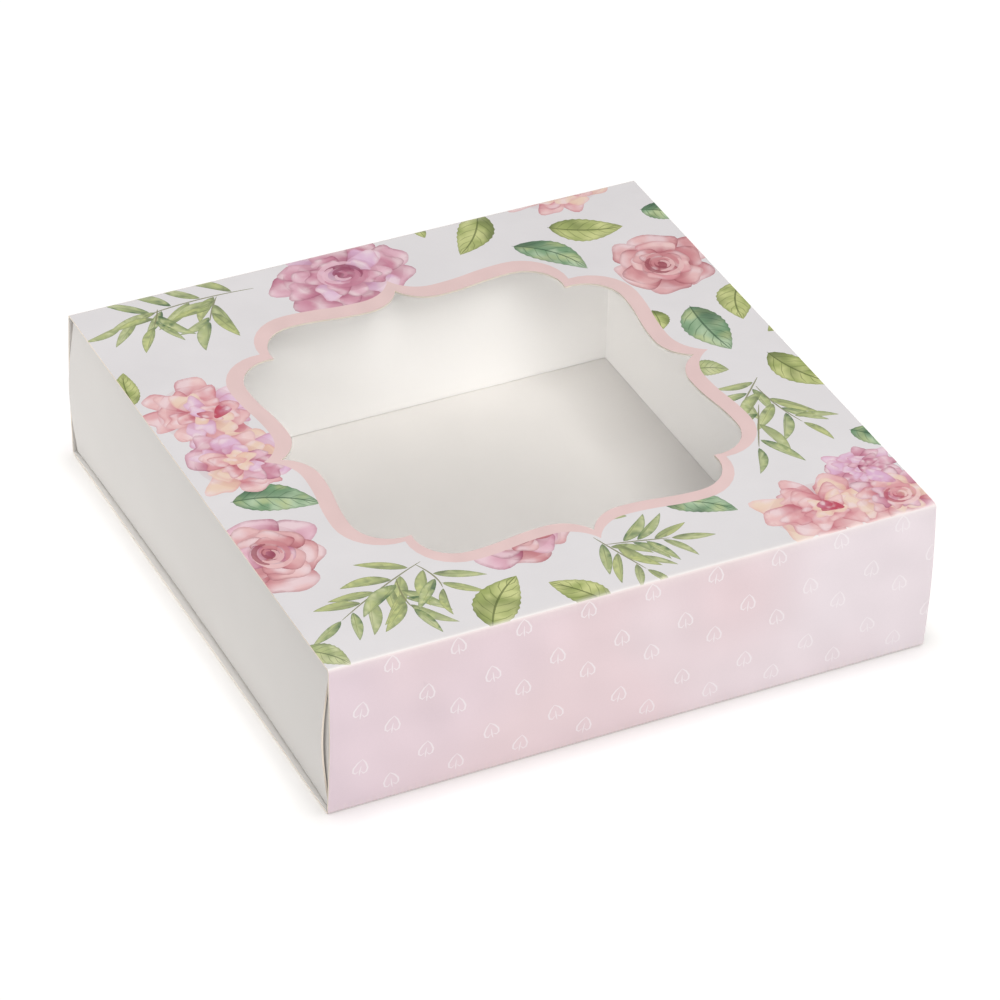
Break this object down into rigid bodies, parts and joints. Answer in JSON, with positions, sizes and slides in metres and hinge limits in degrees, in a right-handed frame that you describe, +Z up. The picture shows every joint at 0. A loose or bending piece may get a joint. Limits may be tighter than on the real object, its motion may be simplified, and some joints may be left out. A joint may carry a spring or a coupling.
{
  "type": "flower box",
  "caption": "Square paperboard gift box: a printed sleeve, open at both ends, with an ornamental film window in its top, and a hollow-walled tray that slides out.",
  "frame": {"origin": "middle of the footprint, on the surface that the box stands on", "axes": "X along the sleeve, the way the tray slides (-X is the end whose tray wall faces the viewer on the left); -Y towards the front pink wall; +Z up"},
  "size_m": [0.15, 0.15, 0.04],
  "materials": {
    "floral_print": "satin, watercolour print on white board",
    "pink_print": "satin, pale pink print on white board",
    "plain_board": "matt, unprinted white board",
    "clear_film": "clear, glossy",
    "dried_glue": "matt"
  },
  "bodies": {
    "sleeve": {"sleeve_top_panel": "floral_print", "sleeve_front_wall": "pink_print", "sleeve_back_wall": "pink_print", "sleeve_base_panel": "pink_print", "sleeve_glue_flap": "plain_board", "seam_glue": "dried_glue", "window_film": "clear_film", "film_glue": "dried_glue"},
    "tray": {"tray_base": "plain_board", "tray_left_outer_wall": "plain_board", "tray_left_ledge": "plain_board", "tray_left_inner_wall": "plain_board", "tray_left_foot": "plain_board", "tray_right_outer_wall": "plain_board", "tray_right_ledge": "plain_board", "tray_right_inner_wall": "plain_board", "tray_right_foot": "plain_board", "tray_front_outer_wall": "plain_board", "tray_front_ledge": "plain_board", "tray_front_inner_wall": "plain_board", "tray_front_foot": "plain_board", "tray_back_outer_wall": "plain_board", "tray_back_ledge": "plain_board", "tray_back_inner_wall": "plain_board", "tray_back_foot": "plain_board", "tray_front_left_tab": "plain_board", "tray_front_right_tab": "plain_board", "tray_back_left_tab": "plain_board", "tray_back_right_tab": "plain_board", "corner_glue": "dried_glue", "foot_glue": "dried_glue"}
  },
  "joints": [
    {"name": "tray_slide", "type": "slide", "parent": "sleeve", "child": "tray", "axis": [-1, 0, 0], "range_m": [-0.155, 0.155]}
  ]
}
